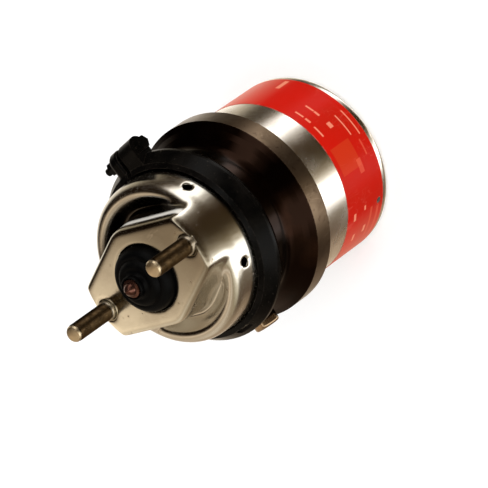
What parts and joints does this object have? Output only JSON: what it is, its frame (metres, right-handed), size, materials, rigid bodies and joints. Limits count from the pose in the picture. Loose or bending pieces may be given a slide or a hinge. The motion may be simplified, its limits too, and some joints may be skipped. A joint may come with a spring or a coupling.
{
  "type": "spring brake actuator",
  "caption": "Disc brake actuator: pressed front housing with mounting studs and a booted pushrod, V-band clamp, cast centre housing, spring cylinder with a release bolt at the rear.",
  "frame": {"origin": "on the axis, in the plane of the rear rim on which the part stands", "axes": "+Z along the axis towards the mounting studs, X along the line of the studs, clamp bolt on the +Y side, air ports on the -Y side"},
  "size_m": [0.1824, 0.1955, 0.2943],
  "materials": {
    "pressed_steel": "champagne zinc plate on pressed steel",
    "stud_steel": "dark bronze plating with bare ends",
    "black_band": "black gloss paint",
    "clamp_hardware": "black plated steel",
    "housing_casting": "brown painted casting, scratched",
    "turned_aluminium": "turned aluminium",
    "cast_aluminium": "cast aluminium",
    "label_red": "red foil",
    "black_rubber": "black rubber",
    "spring_steel": "coated spring steel",
    "plain_steel": "plain steel",
    "guide_plastic": "moulded plastic"
  },
  "bodies": {
    "housing": {"front_housing": "pressed_steel", "mounting_studs": "stud_steel", "boot_retainer": "plain_steel", "rubber_boot": "black_rubber", "clamp_band": "black_band", "clamp_bolt": "clamp_hardware", "clamp_nut": "clamp_hardware", "clamp_washer": "clamp_hardware", "diaphragm": "black_rubber", "return_spring": "spring_steel", "centre_housing": "housing_casting", "tube_bush": "guide_plastic", "tube_seals": "black_rubber", "rear_cylinder": "turned_aluminium", "cylinder_seal": "black_rubber", "retaining_ring": "spring_steel", "label_foil": "label_red", "vent_plug": "guide_plastic", "bolt_thrust_washer": "plain_steel", "bolt_seal": "black_rubber", "spring_seat": "plain_steel", "power_spring": "spring_steel"},
    "release_bolt": {"release_bolt": "plain_steel", "bolt_lock_ring": "spring_steel"},
    "piston": {"spring_piston": "cast_aluminium", "piston_seal": "black_rubber", "piston_guide": "guide_plastic", "piston_tube": "plain_steel", "tube_end_plug": "guide_plastic", "release_nut": "plain_steel"},
    "pushrod": {"pushrod": "stud_steel", "push_plate": "plain_steel"}
  },
  "joints": [
    {"name": "release_bolt_turn", "type": "hinge", "parent": "housing", "child": "release_bolt", "pos_m": [0, 0, 0], "axis": [0, 0, 1], "range_deg": [0, 5131]},
    {"name": "piston_slide", "type": "slide", "parent": "housing", "child": "piston", "axis": [0, 0, 1], "range_m": [0, 0.057], "deforming": ["power_spring"]},
    {"name": "pushrod_slide", "type": "slide", "parent": "housing", "child": "pushrod", "axis": [0, 0, 1], "range_m": [0, 0.05701], "deforming": ["rubber_boot", "diaphragm", "return_spring"]}
  ],
  "couplings": [
    {"joint": "release_bolt_turn", "follows": "piston_slide", "rad_per_m": 1570.8},
    {"joint": "pushrod_slide", "follows": "piston_slide", "ratio": 1}
  ]
}
